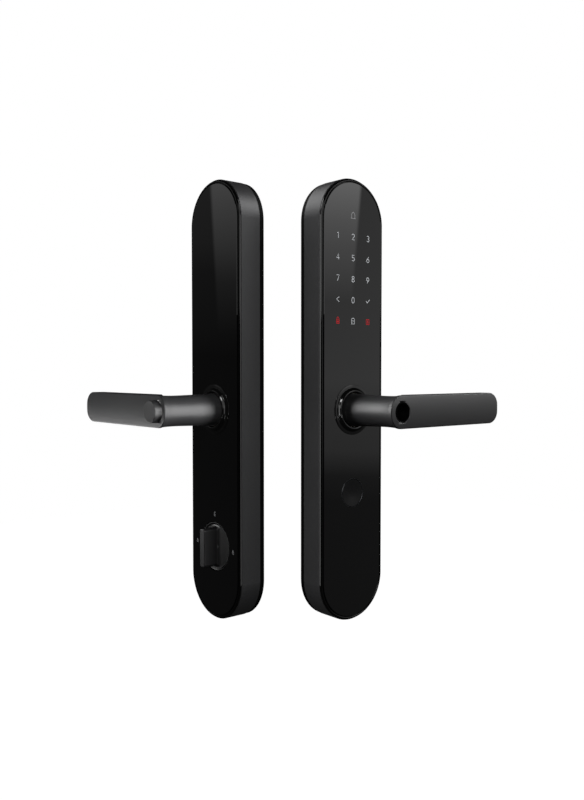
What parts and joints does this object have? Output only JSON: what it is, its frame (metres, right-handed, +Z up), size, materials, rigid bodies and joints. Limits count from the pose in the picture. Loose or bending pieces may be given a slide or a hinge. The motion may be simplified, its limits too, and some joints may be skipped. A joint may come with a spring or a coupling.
{
  "type": "keypad smart lock",
  "caption": "Two slim round-ended lock units for a door: one with a touch keypad, fingerprint reader and lever, one with a lever and thumb turn.",
  "frame": {"origin": "on the outside handle's axis, in the plane of the outside unit's door face", "axes": "+Z up along both units; the outside unit faces -Y and its spindle points to +Y into the door; the inside unit faces -X"},
  "size_m": [0.2641, 0.2501, 0.36],
  "materials": {
    "seal_rubber": "matt moulded rubber",
    "black_abs": "fine textured ABS",
    "plated_steel": "zinc plated",
    "grey_band": "satin dark grey anodised",
    "gloss_black": "polished",
    "black_glass": "polished, printed black behind",
    "chassis_plastic": "glass filled nylon",
    "natural_nylon": "moulded",
    "circuit_board": "solder mask",
    "light_guide_white": "moulded",
    "sensor_black": "coated",
    "ring_grey": "anodised",
    "motor_steel": "drawn can",
    "screw_steel": "zinc plated",
    "socket_steel": "stamped",
    "spring_steel": "drawn wire",
    "handle_coating": "fine matt powder coat",
    "hub_steel": "sintered",
    "lock_brass": "turned",
    "cylinder_black": "blackened",
    "cell_jacket": "printed sleeve",
    "contact_nickel": "nickel plated",
    "turn_grey": "satin coated"
  },
  "bodies": {
    "outside_unit": {"outside_gasket": "seal_rubber", "outside_rear_cover": "black_abs", "outside_mount_plate": "plated_steel", "outside_posts": "plated_steel", "outside_band": "grey_band", "outside_bezel": "gloss_black", "outside_glass": "black_glass", "outside_chassis": "chassis_plastic", "outside_handle_ring": "gloss_black", "outside_neck_bush": "natural_nylon", "keypad_board": "circuit_board", "key_light_guide": "light_guide_white", "fingerprint_sensor": "sensor_black", "fingerprint_ring": "ring_grey", "lock_board": "circuit_board", "clutch_motor": "motor_steel", "outside_cover_screws": "screw_steel", "power_port": "socket_steel", "outside_return_spring": "spring_steel"},
    "outside_lever": {"outside_handle": "handle_coating", "outside_hub": "hub_steel", "outside_hub_screws": "screw_steel", "outside_circlip": "spring_steel", "key_cylinder": "cylinder_black"},
    "key_rotor": {"key_plug": "cylinder_black", "key_tail": "lock_brass"},
    "spindle_drive": {"driven_cam": "lock_brass", "outside_spindle": "plated_steel"},
    "clutch_slider": {"clutch_pusher": "lock_brass"},
    "clutch_bolt": {"clutch_pin": "hub_steel"},
    "inside_unit": {"inside_gasket": "seal_rubber", "inside_rear_cover": "black_abs", "inside_mount_plate": "plated_steel", "inside_band": "grey_band", "inside_bezel": "gloss_black", "inside_panel": "gloss_black", "inside_chassis": "chassis_plastic", "inside_handle_ring": "gloss_black", "inside_neck_bush": "natural_nylon", "battery_tray": "black_abs", "battery_cells": "cell_jacket", "battery_contacts": "contact_nickel", "inside_board": "circuit_board", "speaker": "black_abs", "thumb_turn_bush": "natural_nylon", "position_switch": "black_abs", "inside_cover_screws": "screw_steel", "inside_return_spring": "spring_steel"},
    "inside_lever": {"inside_handle": "handle_coating", "inside_hub": "hub_steel", "inside_hub_screws": "screw_steel", "inside_circlip": "spring_steel", "inside_spindle": "plated_steel", "button_spring": "spring_steel"},
    "release_button": {"safety_button": "turn_grey"},
    "thumb_turn": {"thumb_turn_disc": "gloss_black", "thumb_turn_grip": "turn_grey", "thumb_turn_shaft": "plated_steel"}
  },
  "joints": [
    {"name": "outside_lever_turn", "type": "hinge", "parent": "outside_unit", "child": "outside_lever", "pos_m": [0, 0, 0], "axis": [0, 1, 0], "range_deg": [-45, 45], "stiffness_Nm_per_rad": 2, "springref_deg": -5.73, "deforming": ["outside_return_spring"]},
    {"name": "outside_spindle_turn", "type": "hinge", "parent": "outside_unit", "child": "spindle_drive", "pos_m": [0, 0, 0], "axis": [0, 1, 0], "range_deg": [-45, 45]},
    {"name": "key_turn", "type": "hinge", "parent": "outside_lever", "child": "key_rotor", "pos_m": [0, -0.05, 0], "axis": [0, 1, 0], "range_deg": [-90, 90]},
    {"name": "clutch_pusher_slide", "type": "slide", "parent": "outside_unit", "child": "clutch_slider", "axis": [0, 0, 1], "range_m": [0, 0.0052]},
    {"name": "clutch_pin_slide", "type": "slide", "parent": "outside_lever", "child": "clutch_bolt", "axis": [0, 0, 1], "range_m": [0, 0.00265]},
    {"name": "inside_unit_to_door", "type": "hinge", "parent": "outside_unit", "child": "inside_unit", "pos_m": [-0.035, 0.016, 0], "axis": [0, 0, 1], "range_deg": [-90, 0]},
    {"name": "inside_lever_turn", "type": "hinge", "parent": "inside_unit", "child": "inside_lever", "pos_m": [-0.059, 0.051, 0], "axis": [-1, 0, 0], "range_deg": [-45, 45], "stiffness_Nm_per_rad": 2, "springref_deg": -5.73, "deforming": ["inside_return_spring"]},
    {"name": "release_button_press", "type": "slide", "parent": "inside_lever", "child": "release_button", "axis": [1, 0, 0], "range_m": [0, 0.003], "stiffness_N_per_m": 400, "springref_m": -0.005, "deforming": ["button_spring"]},
    {"name": "thumb_turn_turn", "type": "hinge", "parent": "inside_unit", "child": "thumb_turn", "pos_m": [-0.059, 0.051, -0.113], "axis": [-1, 0, 0], "range_deg": [-90, 90]}
  ],
  "couplings": [
    {"joint": "outside_spindle_turn", "follows": "outside_lever_turn", "ratio": 1},
    {"joint": "clutch_pin_slide", "follows": "clutch_pusher_slide", "ratio": 0.509}
  ]
}
